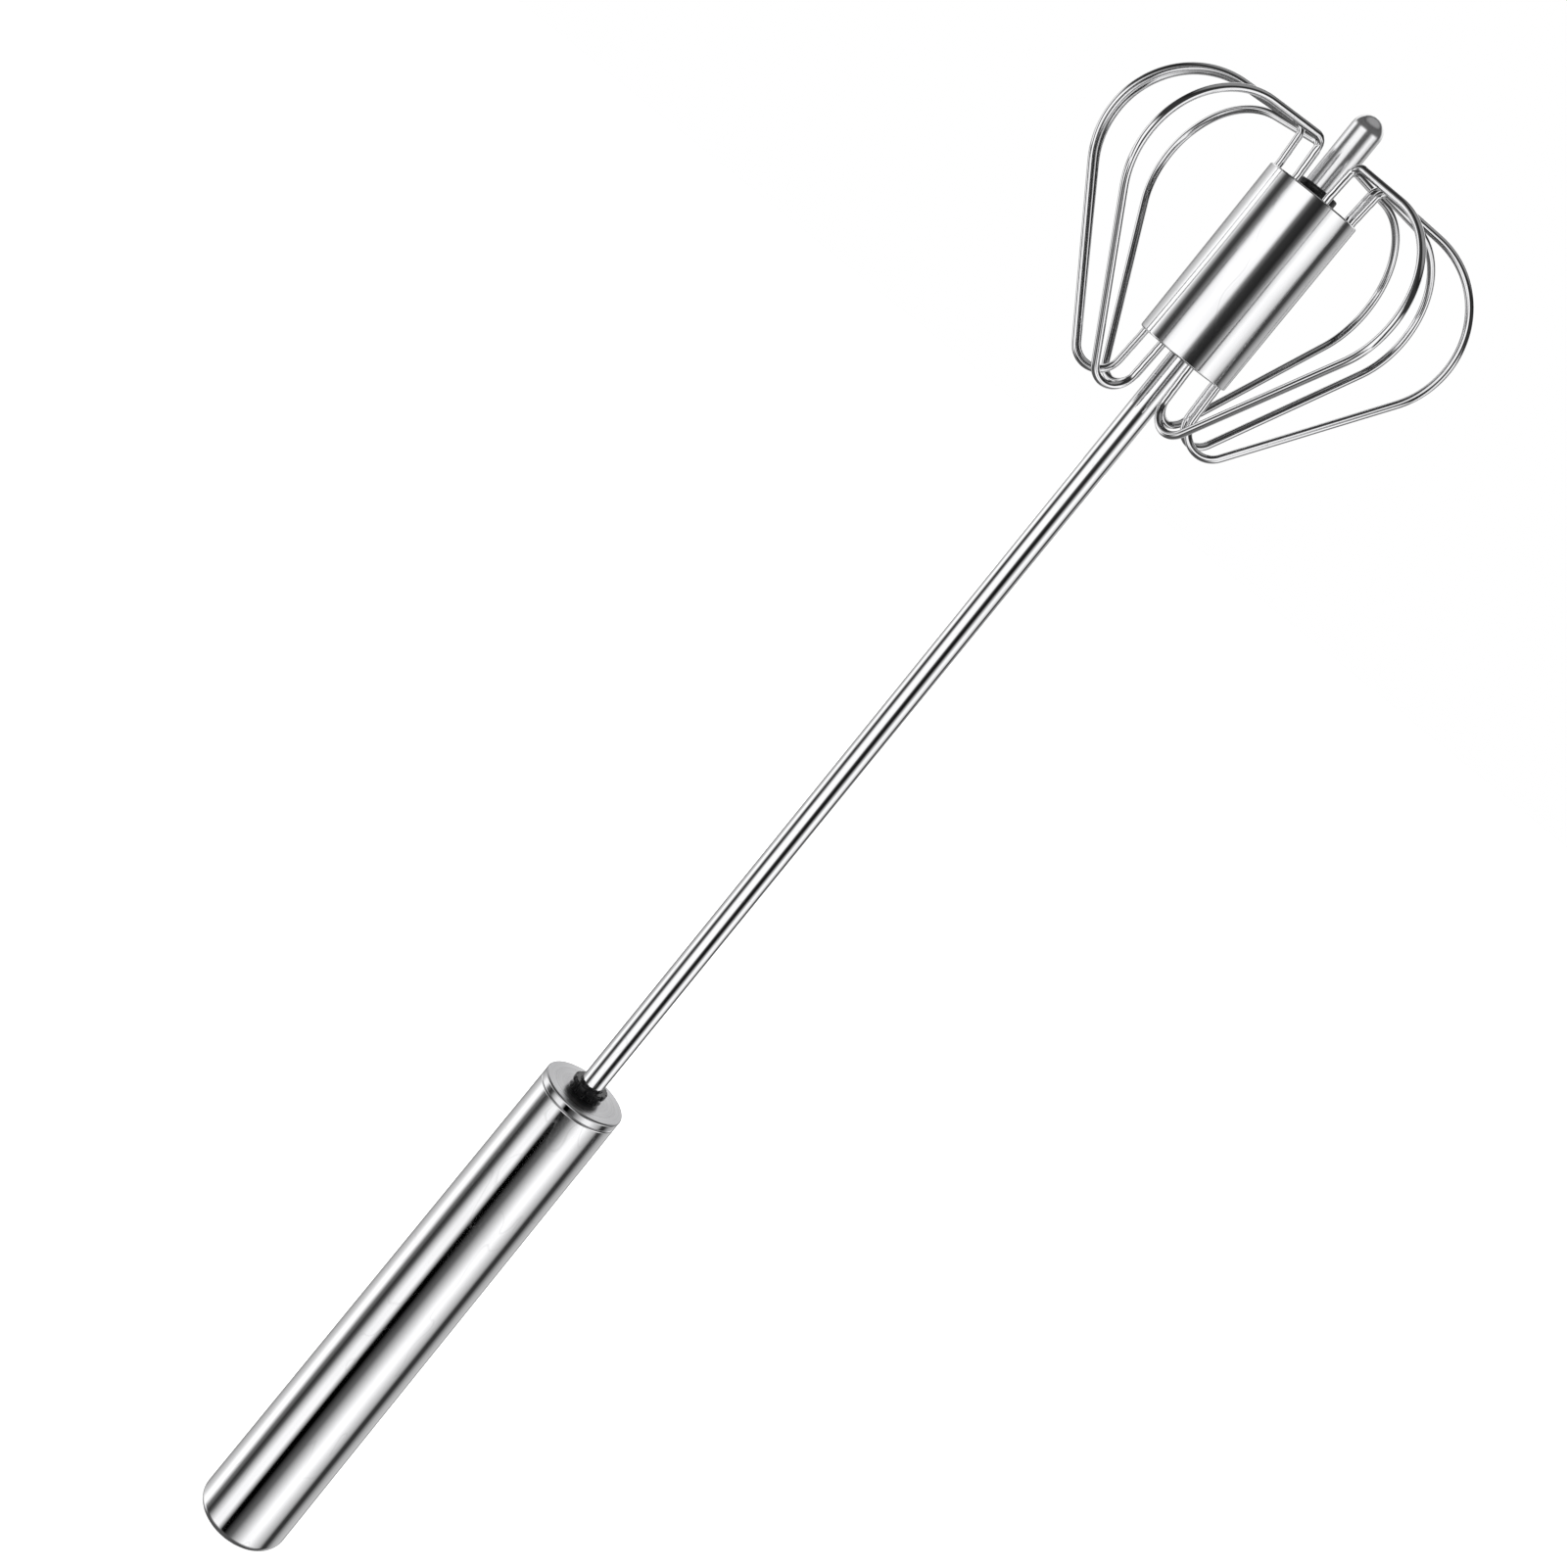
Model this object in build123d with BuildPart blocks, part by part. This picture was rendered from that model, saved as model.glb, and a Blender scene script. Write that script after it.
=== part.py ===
from build123d import *
from math import cos, radians, sin, tan
import os

# A push-down rotary whisk, hand held. Pressing the handle toward the bowl slides
# the shaft into the handle, a slotted nut runs along a fixed twisted strip, and the
# strip turns the nut, the shaft and the wire head. A spring pushes the shaft out.
#
# Units are millimetres. The origin is the centre of the handle's closed end and +Z
# runs along the shaft to the tip of the foot pin. +X and -X point into the two fans
# of wire loops.

# --- overall stations along Z ----------------------------------------------------
overall_length = 362.0
handle_length = 126.7
ferrule_length = 35.4
foot_projection = 16.5

# --- handle ----------------------------------------------------------------------
palm_radius = 10.25
mouth_radius = 9.15
mouth_wall = 0.8
end_wall = 1.2
end_rounding = 2.2
rim_height = 1.9
rim_rounding = 0.45
skirt_depth = 6.0
skirt_wall = 0.8

# --- bush at the mouth -----------------------------------------------------------
bush_collar_radius = 3.9
bush_collar_height = 1.1
bush_collar_lift = 1.2
bush_neck_radius = 3.3
bush_neck_depth = 7.5
bush_flutes = 12
flute_radius = 0.3
ring_groove_radius = 3.0
ring_radius = 4.9
ring_thickness = 0.6
ring_gap = 3.2
running_fit = 0.06

# --- twisted strip and its anchor ------------------------------------------------
anchor_height = 7.8
boss_radius = 3.4
boss_height = 4.0
strip_width = 3.2
strip_thickness = 0.9
strip_lead = 28.0
strip_root = 2.5
strip_overlap = 10.0
pin_radius = 0.8
pin_station = 5.5
slot_clearance = 0.15

# --- return spring ---------------------------------------------------------------
seat_thickness = 1.0
seat_radius = 7.8
spring_wire_radius = 0.45
spring_radius = 5.5
spring_turns = 18
washer_radius = 7.9
washer_bore = 2.1
washer_thickness = 1.3
washer_gap = 0.05

# --- shaft and drive nut ---------------------------------------------------------
shaft_radius = 2.5
shaft_bore = 2.0
nut_floor = 3.0
nut_piston_height = 5.0
nut_height = 10.0
nut_sleeve_radius = 4.5
piston_fit = 0.1
screw_radius = 0.9
screw_tip = 2.05
stop_height = 4.2
stop_radius = 5.0
stop_gap = 0.3

# --- hub in the whisk head -------------------------------------------------------
ferrule_radius = 9.5
ferrule_wall = 0.4
ferrule_rounding = 0.3
core_recess = 0.6
core_boss_radius = 4.0
core_boss_height = 1.5
core_web = 1.0
plate_thickness = 0.6
plate_radius = 7.3
shaft_insertion = 31.0
hub_pin_radius = 1.0
hub_pin_length = 14.0
hub_pin_inset = 9.0
foot_radius = 3.0
spigot_length = 15.0

# --- wire loops ------------------------------------------------------------------
wire_radius = 0.75
groove_radius = 0.9
leg_radius = 8.3
leg_straight = 0.8
foot_side_lean = 4.0
shaft_side_lean = 3.0
loop_rise = 8.0
spoke_end_rise = 5.6
head_radius = 36.9
shoulder_radius = 16.6
diagonal_angle = 34.1
leg_bend = 1.8
foot_side_bend = 2.0
shaft_side_bend = 3.0
hairpin_radius = 4.4
# Where each loop's legs stand round the core, and where its flat plane points: two
# fans of four, one on each side.
leg_azimuths = (-75, -8, 27, 75, 122, 173, 187, 238)
loop_directions = (-43, -5, 40, 49, 138, 172, 184, 215)

# --- worked-out stations ---------------------------------------------------------
handle_bore = mouth_radius - mouth_wall
tube_top = handle_length - rim_height
anchor_base = end_wall
boss_base = anchor_base + anchor_height
anchor_top = boss_base + boss_height
bush_base = handle_length - bush_neck_depth
stop_base = bush_base - stop_gap - stop_height
nut_base = stop_base - nut_height
shaft_base = nut_base + nut_floor
screw_station = stop_base - 0.5 * (nut_height - nut_piston_height)
strip_top = shaft_base + strip_overlap
washer_base = nut_base - washer_gap - washer_thickness
spring_base = boss_base + seat_thickness
spring_length = washer_base - spring_base

ferrule_top = overall_length - foot_projection
ferrule_base = ferrule_top - ferrule_length
core_base = ferrule_base + core_recess
core_top = ferrule_top - plate_thickness
core_boss_top = ferrule_top + core_boss_height
core_radius = ferrule_radius - ferrule_wall
web_base = 0.5 * (ferrule_base + ferrule_top - core_web)
shaft_top = ferrule_base + shaft_insertion
hub_pin_station = ferrule_base + hub_pin_inset

parts = []


def finish_part(piece, name):
    """Name a finished piece and keep it for export."""
    piece.label = name
    parts.append(piece)


def strip_angle(station):
    """Angle in degrees of the twisted strip at a height along the shaft."""
    return 360.0 * (station - anchor_top) / strip_lead


def twisted_prism(section, base, height):
    """A section carried up the axis while it turns with the strip's lead."""
    turn = 360.0 * height / strip_lead
    return Solid.extrude_linear_with_rotation(section, (0, 0, base), (0, 0, height), turn)


# === Handle ======================================================================

# One tube, closed and rounded at the palm end and open at the mouth. It grows wider
# outside toward the palm, while the bore that guides the nut keeps one radius.
with BuildPart() as handle_tube:
    Cone(
        palm_radius,
        mouth_radius,
        tube_top,
        align=(Align.CENTER, Align.CENTER, Align.MIN),
    )
    fillet(handle_tube.edges().filter_by(GeomType.CIRCLE).sort_by(Axis.Z)[0], end_rounding)
    with BuildSketch(Plane.XY.offset(end_wall)):
        Circle(handle_bore)
    extrude(amount=handle_length, mode=Mode.SUBTRACT)
finish_part(handle_tube.part, "handle_tube")

# Cap that closes the mouth: a rim flush with the tube and a skirt inside it.
with BuildPart() as mouth_cap:
    with BuildSketch(Plane.XY.offset(tube_top)):
        Circle(mouth_radius)
    extrude(amount=rim_height)
    fillet(mouth_cap.edges().filter_by(GeomType.CIRCLE), rim_rounding)
    with BuildSketch(Plane.XY.offset(tube_top - skirt_depth)):
        Circle(handle_bore)
        Circle(handle_bore - skirt_wall, mode=Mode.SUBTRACT)
    extrude(amount=skirt_depth + 0.5 * rim_height)
    with BuildSketch(Plane.XY.offset(handle_length)):
        Circle(bush_neck_radius)
    extrude(amount=-2 * rim_height, mode=Mode.SUBTRACT)
finish_part(mouth_cap.part, "mouth_cap")

# Plastic bush that guides the shaft, with a fluted neck and collar outside the cap and
# a groove for its retaining ring under the cap.
with BuildPart() as shaft_bush:
    with BuildSketch(Plane.XY.offset(bush_base)):
        Circle(bush_neck_radius)
    extrude(amount=bush_neck_depth + bush_collar_lift)
    with BuildSketch(Plane.XY.offset(handle_length + bush_collar_lift)):
        Circle(bush_collar_radius)
    extrude(amount=bush_collar_height)
    for fluted_radius, flute_base, flute_length in (
        (bush_neck_radius, handle_length, bush_collar_lift),
        (bush_collar_radius, handle_length + bush_collar_lift, bush_collar_height),
    ):
        with BuildSketch(Plane.XY.offset(flute_base)):
            with PolarLocations(fluted_radius, bush_flutes):
                Circle(flute_radius)
        extrude(amount=flute_length, mode=Mode.SUBTRACT)
    with BuildSketch(Plane.XY.offset(tube_top - ring_thickness)):
        Circle(bush_neck_radius)
        Circle(ring_groove_radius, mode=Mode.SUBTRACT)
    extrude(amount=ring_thickness, mode=Mode.SUBTRACT)
    with BuildSketch(Plane.XY.offset(bush_base)):
        Circle(shaft_radius + running_fit)
    extrude(amount=2 * bush_neck_depth, mode=Mode.SUBTRACT)
finish_part(shaft_bush.part, "shaft_bush")

# Open steel ring that holds the bush against the underside of the cap.
with BuildPart() as bush_retaining_ring:
    with BuildSketch(Plane.XY.offset(tube_top - ring_thickness)):
        Circle(ring_radius)
        Circle(ring_groove_radius, mode=Mode.SUBTRACT)
        with Locations((0, ring_radius)):
            Rectangle(ring_gap, 2 * ring_radius, mode=Mode.SUBTRACT)
    extrude(amount=ring_thickness)
finish_part(bush_retaining_ring.part, "bush_retaining_ring")

# Plug in the closed end that holds the strip and stops it turning.
with BuildPart() as strip_anchor:
    with BuildSketch(Plane.XY.offset(anchor_base)):
        Circle(handle_bore)
    extrude(amount=anchor_height)
    with BuildSketch(Plane.XY.offset(boss_base)):
        Circle(boss_radius)
    extrude(amount=boss_height)
    with BuildSketch(Plane.XY.offset(strip_root)):
        Rectangle(strip_thickness, strip_width)
    extrude(amount=anchor_top - strip_root, mode=Mode.SUBTRACT)
    with BuildSketch(Plane.YZ):
        with Locations((0, pin_station)):
            Circle(pin_radius)
    extrude(amount=handle_bore, both=True, mode=Mode.SUBTRACT)
finish_part(strip_anchor.part, "strip_anchor")

# Flat steel strip: straight in the plug, then twisted to a constant lead.
with BuildSketch(Plane.XY.offset(anchor_top)) as strip_section:
    Rectangle(strip_thickness, strip_width)
with BuildPart() as twisted_strip:
    with BuildSketch(Plane.XY.offset(strip_root)):
        Rectangle(strip_thickness, strip_width)
    extrude(amount=anchor_top - strip_root)
    add(twisted_prism(strip_section.sketch.face(), anchor_top, strip_top - anchor_top))
    with BuildSketch(Plane.YZ):
        with Locations((0, pin_station)):
            Circle(pin_radius)
    extrude(amount=strip_width, both=True, mode=Mode.SUBTRACT)
finish_part(twisted_strip.part, "twisted_strip")

# Cross pin through the plug and the foot of the strip.
with BuildPart() as anchor_pin:
    with BuildSketch(Plane.YZ):
        with Locations((0, pin_station)):
            Circle(pin_radius)
    extrude(amount=handle_bore - slot_clearance, both=True)
finish_part(anchor_pin.part, "anchor_pin")

# Washer around the plug's boss that the spring stands on.
with BuildPart() as spring_seat:
    with BuildSketch(Plane.XY.offset(boss_base)):
        Circle(seat_radius)
        Circle(boss_radius, mode=Mode.SUBTRACT)
    extrude(amount=seat_thickness)
finish_part(spring_seat.part, "spring_seat")

# Compression spring between the seat and the thrust washer.
coil_height = spring_length - 2 * spring_wire_radius
with BuildPart() as return_spring:
    with BuildLine() as coil:
        Helix(coil_height / spring_turns, coil_height, spring_radius,
              center=(0, 0, spring_base + spring_wire_radius))
    with BuildSketch(Plane(coil.line @ 0, z_dir=coil.line % 0)):
        Circle(spring_wire_radius)
    sweep(path=coil.line, is_frenet=True)
finish_part(return_spring.part, "return_spring")

# === Sliding carrier =============================================================

# Washer that slides with the nut but does not turn with it.
with BuildPart() as thrust_washer:
    with BuildSketch(Plane.XY.offset(washer_base)):
        Circle(washer_radius)
        Circle(washer_bore, mode=Mode.SUBTRACT)
    extrude(amount=washer_thickness)
finish_part(thrust_washer.part, "thrust_washer")

# === Whisk =======================================================================

# Thin steel tube from the nut inside the handle to the hub of the head.
with BuildPart() as shaft_tube:
    with BuildSketch(Plane.XY.offset(shaft_base)):
        Circle(shaft_radius)
        Circle(shaft_bore, mode=Mode.SUBTRACT)
    extrude(amount=shaft_top - shaft_base)
    with BuildSketch(Plane.YZ):
        with Locations((0, screw_station)):
            Circle(screw_radius)
    extrude(amount=mouth_radius, both=True, mode=Mode.SUBTRACT)
    with BuildSketch(Plane.XZ):
        with Locations((0, hub_pin_station)):
            Circle(hub_pin_radius)
    extrude(amount=mouth_radius, both=True, mode=Mode.SUBTRACT)
finish_part(shaft_tube.part, "shaft_tube")

# Plastic nut: a piston guided by the handle's bore, with a slot that has the strip's
# own twist, and a sleeve that grips the shaft.
with BuildSketch(Plane.XY.offset(nut_base)) as slot_section:
    Rectangle(
        strip_thickness + 2 * slot_clearance,
        strip_width + 2 * slot_clearance,
        rotation=strip_angle(nut_base),
    )
with BuildPart() as drive_nut:
    with BuildSketch(Plane.XY.offset(nut_base)):
        Circle(handle_bore - piston_fit)
    extrude(amount=nut_piston_height)
    with BuildSketch(Plane.XY.offset(nut_base + nut_piston_height)):
        Circle(nut_sleeve_radius)
    extrude(amount=nut_height - nut_piston_height)
    with BuildSketch(Plane.XY.offset(shaft_base)):
        Circle(shaft_radius)
    extrude(amount=nut_height, mode=Mode.SUBTRACT)
    add(twisted_prism(slot_section.sketch.face(), nut_base, nut_floor + 1), mode=Mode.SUBTRACT)
    with BuildSketch(Plane.YZ):
        with Locations((0, screw_station)):
            Circle(screw_radius)
    extrude(amount=mouth_radius, both=True, mode=Mode.SUBTRACT)
finish_part(drive_nut.part, "drive_nut")

# Two grub screws that lock the nut's sleeve to the shaft tube.
with BuildPart() as nut_screws:
    for side in (1, -1):
        with BuildSketch(Plane.YZ.offset(side * screw_tip)):
            with Locations((0, screw_station)):
                Circle(screw_radius)
        extrude(amount=side * (nut_sleeve_radius - screw_tip))
finish_part(nut_screws.part, "nut_screws")

# Rubber ring that softens the stop against the bush.
with BuildPart() as stop_ring:
    with BuildSketch(Plane.XY.offset(stop_base)):
        Circle(stop_radius)
        Circle(shaft_radius, mode=Mode.SUBTRACT)
    extrude(amount=stop_height)
    fillet(stop_ring.edges().filter_by(GeomType.CIRCLE).group_by(Axis.Z)[-1][-1:], 0.5)
finish_part(stop_ring.part, "stop_ring")

# Polished sleeve that clamps the legs of the loops around the core.
with BuildPart() as ferrule:
    with BuildSketch(Plane.XY.offset(ferrule_base)):
        Circle(ferrule_radius)
    extrude(amount=ferrule_length)
    fillet(ferrule.edges().filter_by(GeomType.CIRCLE), ferrule_rounding)
    with BuildSketch(Plane.XY.offset(ferrule_base)):
        Circle(core_radius)
    extrude(amount=ferrule_length, mode=Mode.SUBTRACT)
finish_part(ferrule.part, "ferrule")

# Where the legs of the loops enter the hub.
leg_places = [
    (leg_radius * cos(radians(azimuth)), leg_radius * sin(radians(azimuth)))
    for azimuth in leg_azimuths
]

# Moulded core: one groove for each leg from each end, with a web between them that
# the wire ends rest on.
with BuildPart() as hub_core:
    with BuildSketch(Plane.XY.offset(core_base)):
        Circle(core_radius)
    extrude(amount=core_top - core_base)
    with BuildSketch(Plane.XY.offset(core_top)):
        Circle(core_boss_radius)
    extrude(amount=core_boss_top - core_top)
    for groove_base, groove_top in (
        (core_base, web_base),
        (web_base + core_web, core_top),
    ):
        with BuildSketch(Plane.XY.offset(groove_base)):
            with Locations(*leg_places):
                Circle(groove_radius)
        extrude(amount=groove_top - groove_base, mode=Mode.SUBTRACT)
    with BuildSketch(Plane.XY.offset(core_base)):
        Circle(shaft_radius)
    extrude(amount=shaft_top - core_base, mode=Mode.SUBTRACT)
    with BuildSketch(Plane.XY.offset(shaft_top)):
        Circle(shaft_bore)
    extrude(amount=ferrule_length, mode=Mode.SUBTRACT)
    with BuildSketch(Plane.XZ):
        with Locations((0, hub_pin_station)):
            Circle(hub_pin_radius)
    extrude(amount=0.5 * hub_pin_length, both=True, mode=Mode.SUBTRACT)
finish_part(hub_core.part, "hub_core")

# Steel plate that closes the foot end of the hub inside the ring of legs.
with BuildPart() as hub_end_plate:
    with BuildSketch(Plane.XY.offset(core_top)):
        Circle(plate_radius)
        Circle(core_boss_radius, mode=Mode.SUBTRACT)
    extrude(amount=plate_thickness)
finish_part(hub_end_plate.part, "hub_end_plate")

# Cross pin that locks the core to the shaft.
with BuildPart() as hub_pin:
    with BuildSketch(Plane.XZ):
        with Locations((0, hub_pin_station)):
            Circle(hub_pin_radius)
    extrude(amount=0.5 * hub_pin_length, both=True)
finish_part(hub_pin.part, "hub_pin")

# Round-nosed pin that stands on the bottom of the bowl. Its shoulder sits on the
# core's boss and its spigot goes through the boss into the tube.
with BuildPart() as foot_pin:
    with BuildSketch(Plane.XY.offset(shaft_top - spigot_length)):
        Circle(shaft_bore)
    extrude(amount=core_boss_top - shaft_top + spigot_length)
    with BuildSketch(Plane.XY.offset(core_boss_top)):
        Circle(foot_radius)
    extrude(amount=overall_length - foot_radius - core_boss_top)
    with Locations((0, 0, overall_length - foot_radius)):
        Sphere(foot_radius)
finish_part(foot_pin.part, "foot_pin")

# Each loop is one round wire in a flat, upright plane through its legs: up from the core with a
# slight outward lean, out along a spoke, round the shoulder, down the diagonal and
# back by a hairpin. The diagonal meets the leaning leg at the hairpin's corner.
shoulder_reach = head_radius - wire_radius - shoulder_radius
half_corner = radians(0.5 * (90.0 - diagonal_angle))
corner_reach = shoulder_reach + shoulder_radius * cos(half_corner) / sin(half_corner)
corner_station = ferrule_top + spoke_end_rise
foot_lean = tan(radians(foot_side_lean))
shaft_lean = tan(radians(shaft_side_lean))
diagonal_slope = tan(radians(diagonal_angle))
leg_end = ferrule_base - leg_straight
hairpin_station = (
    leg_radius + shaft_lean * leg_end - corner_reach + diagonal_slope * corner_station
) / (diagonal_slope + shaft_lean)
loop_points = [
    (leg_radius, web_base + core_web),
    (leg_radius, ferrule_top + leg_straight),
    (leg_radius + foot_lean * (loop_rise - leg_straight), ferrule_top + loop_rise),
    (corner_reach, corner_station),
    (leg_radius + shaft_lean * (leg_end - hairpin_station), hairpin_station),
    (leg_radius, leg_end),
    (leg_radius, web_base),
]
loop_bends = [
    foot_side_bend,
    leg_bend,
    shoulder_radius,
    hairpin_radius,
    shaft_side_bend,
]
for number, (place, direction) in enumerate(zip(leg_places, loop_directions), start=1):
    across = (cos(radians(direction)), sin(radians(direction)), 0)
    normal = (sin(radians(direction)), -cos(radians(direction)), 0)
    root = (place[0] - leg_radius * across[0], place[1] - leg_radius * across[1], 0)
    with BuildPart() as whisk_loop:
        with BuildLine(Plane(root, x_dir=across, z_dir=normal)) as loop_path:
            FilletPolyline(*loop_points, radius=loop_bends)
        with BuildSketch(Plane(loop_path.line @ 0, z_dir=loop_path.line % 0)):
            Circle(wire_radius)
        sweep(path=loop_path.line)
    finish_part(whisk_loop.part, f"whisk_loop_{number}")

os.makedirs("parts", exist_ok=True)
for piece in parts:
    export_step(piece, f"parts/{piece.label}.step")
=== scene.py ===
from math import cos, pi, radians, sin

import bpy
import numpy as np
from mathutils import Matrix, Vector


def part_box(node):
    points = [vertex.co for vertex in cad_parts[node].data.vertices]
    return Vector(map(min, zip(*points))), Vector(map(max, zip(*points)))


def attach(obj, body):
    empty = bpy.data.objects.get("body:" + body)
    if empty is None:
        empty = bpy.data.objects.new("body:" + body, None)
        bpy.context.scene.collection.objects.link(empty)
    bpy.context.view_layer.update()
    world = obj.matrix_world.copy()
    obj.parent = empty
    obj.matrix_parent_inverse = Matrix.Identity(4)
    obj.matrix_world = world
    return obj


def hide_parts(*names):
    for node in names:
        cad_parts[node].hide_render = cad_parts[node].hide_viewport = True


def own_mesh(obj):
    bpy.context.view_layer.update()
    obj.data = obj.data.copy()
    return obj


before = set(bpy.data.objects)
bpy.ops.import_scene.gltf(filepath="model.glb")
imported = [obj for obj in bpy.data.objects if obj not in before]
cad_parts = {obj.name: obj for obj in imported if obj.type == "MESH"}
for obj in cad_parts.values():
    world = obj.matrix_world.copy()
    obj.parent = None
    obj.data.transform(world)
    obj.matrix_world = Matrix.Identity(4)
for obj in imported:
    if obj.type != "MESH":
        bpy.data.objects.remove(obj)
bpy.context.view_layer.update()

# A push-down rotary whisk that stands on the closed end of its handle. Metres, with
# the axis on Z, the handle at the bottom and the round-nosed foot pin at the top.
MM = 0.001
TURN = 2 * pi


def low(node):
    """Lowest height of a CAD node."""
    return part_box(node)[0].z


def high(node):
    """Highest height of a CAD node."""
    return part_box(node)[1].z


def outer_radius(node):
    """Half the width of a round CAD node along X."""
    return 0.5 * (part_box(node)[1].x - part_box(node)[0].x)


# --- sizes read from the frame ---------------------------------------------------
PALM_RADIUS = outer_radius("handle_tube")
MOUTH_RADIUS = outer_radius("mouth_cap")
TUBE_TOP = high("handle_tube")
MOUTH = high("mouth_cap")
SHAFT_RADIUS = outer_radius("shaft_tube")
SHAFT_BASE = low("shaft_tube")
SHAFT_TOP = high("shaft_tube")
FERRULE_RADIUS = outer_radius("ferrule")
FERRULE_BASE = low("ferrule")
FERRULE_TOP = high("ferrule")
PLATE_BASE = low("hub_end_plate")
CORE_BASE = low("hub_core")
BOSS_TOP = high("hub_core")
FOOT_RADIUS = outer_radius("foot_pin")
TIP = high("foot_pin")

# --- sizes that the boxes do not show --------------------------------------------
MOUTH_WALL = 0.8 * MM
HANDLE_BORE = MOUTH_RADIUS - MOUTH_WALL
END_WALL = 1.2 * MM
END_ROUNDING = 2.2 * MM
BUSH_NECK = 3.3 * MM
BUSH_COLLAR = 3.9 * MM
COLLAR_LIFT = 1.2 * MM
FLUTE_RADIUS = 0.3 * MM
BUSH_BORE = 2.56 * MM
BUSH_FLUTES = 12
SHAFT_BORE = 2.0 * MM
FERRULE_BORE = 9.1 * MM
CORE_BOSS = 4.0 * MM
GROOVE_RADIUS = 0.9 * MM
LEG_RADIUS = 8.3 * MM
LEG_STRAIGHT = 0.8 * MM
FOOT_SIDE_LEAN = radians(4.0)
SHAFT_SIDE_LEAN = radians(3.0)
WIRE_RADIUS = 0.75 * MM
HEAD_RADIUS = 36.9 * MM
SHOULDER_RADIUS = 16.6 * MM
DIAGONAL_ANGLE = radians(34.1)
FOOT_LEG_BEND = 2.0 * MM
SPOKE_BEND = 1.8 * MM
SHAFT_LEG_BEND = 3.0 * MM
HAIRPIN_RADIUS = 4.4 * MM
LOOP_RISE = 8.0 * MM
SPOKE_END_RISE = 5.6 * MM
LEG_AZIMUTHS = np.radians((-75, -8, 27, 75, 122, 173, 187, 238))
LOOP_DIRECTIONS = np.radians((-43, -5, 40, 49, 138, 172, 184, 215))
STRIP_WIDTH = 3.2 * MM
STRIP_THICKNESS = 0.9 * MM
STRIP_LEAD = 28.0 * MM
SPRING_RADIUS = 5.5 * MM
SPRING_WIRE = 0.45 * MM
SPRING_TURNS = 18

# Roundings of small edges, from almost sharp to soft.
CRISP_EDGE = 0.05 * MM
BROKEN_EDGE = 0.1 * MM
EASED_EDGE = 0.15 * MM
SOFT_EDGE = 0.2 * MM
ROUND_EDGE = 0.3 * MM


# === Surfaces ====================================================================


def enclosed_volume(points, faces):
    """Sum of the signed tetrahedra between the origin and each face's fan."""
    total = 0.0
    for size in (3, 4):
        corners = np.array([face for face in faces if len(face) == size], int)
        if len(corners):
            for second in range(1, size - 1):
                a = points[corners[:, 0]]
                b = points[corners[:, second]]
                c = points[corners[:, second + 1]]
                total += np.einsum("ij,ij->", a, np.cross(b, c)) / 6
    return total


def skin(name, rows, ring=False):
    """Mesh over a grid whose columns go round a section.

    rows has shape (rows, columns, 3). With ring the last row joins the first; else
    the first and last rows are single points, the poles, and close the surface.
    """
    count, columns = rows.shape[:2]
    step = np.arange(columns)
    after = (step + 1) % columns
    if ring:
        points = rows.reshape(-1, 3)
        lower = np.arange(count)
        upper = (lower + 1) % count
        base, poles = 0, []
    else:
        body = rows[1:-1].reshape(-1, 3)
        points = np.vstack([rows[0, :1], body, rows[-1, :1]])
        lower = np.arange(count - 3)
        upper = lower + 1
        base = 1
        first = 1 + step
        last = 1 + (count - 3) * columns + step
        end = np.full(columns, len(points) - 1)
        start = np.zeros(columns, int)
        poles = np.stack([start, first[after], first], 1).tolist()
        poles += np.stack([end, last, last[after]], 1).tolist()
    a = base + lower[:, None] * columns + step
    b = base + lower[:, None] * columns + after
    c = base + upper[:, None] * columns + after
    d = base + upper[:, None] * columns + step
    faces = np.stack([a, b, c, d], 2).reshape(-1, 4).tolist() + poles
    if enclosed_volume(points, faces) < 0:
        faces = [face[::-1] for face in faces]
    mesh = bpy.data.meshes.new(name)
    mesh.from_pydata(points.tolist(), [], faces)
    mesh.update()
    mesh.shade_smooth()
    piece = bpy.data.objects.new(name, mesh)
    bpy.context.scene.collection.objects.link(piece)
    return piece


def rounded(corners, closed=False, steps=8, hold=0.04 * MM):
    """Outline through corners (across, along, rounding), as points.

    Each corner with a rounding becomes an arc tangent to both its sides: its centre
    lies on the bisector, at rounding / sin(half angle). One more point just before
    and after each arc holds the flat sides flat under smooth shading.
    """
    corners = np.array(corners, float)
    places, roundings = corners[:, :2], corners[:, 2]
    outline = []
    for index, place in enumerate(places):
        inner = 0 < index < len(places) - 1
        if roundings[index] <= 0 or not (closed or inner):
            outline.append(place[None])
            continue
        back = places[index - 1] - place
        ahead = places[(index + 1) % len(places)] - place
        back /= np.linalg.norm(back)
        ahead /= np.linalg.norm(ahead)
        half = 0.5 * np.arccos(np.clip(back @ ahead, -1, 1))
        reach = roundings[index] / np.tan(half)
        middle = back + ahead
        middle /= np.linalg.norm(middle)
        centre = place + middle * roundings[index] / np.sin(half)
        sweep = 0.5 * pi - half
        share = np.linspace(-sweep, sweep, steps + 1)[:, None]
        side = ahead - middle * (ahead @ middle)
        side /= np.linalg.norm(side)
        arc = centre + roundings[index] * (side * np.sin(share) - middle * np.cos(share))
        outline.append(place[None] + back * (reach + hold))
        outline.append(arc)
        outline.append(place[None] + ahead * (reach + hold))
    return np.vstack(outline)


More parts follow.
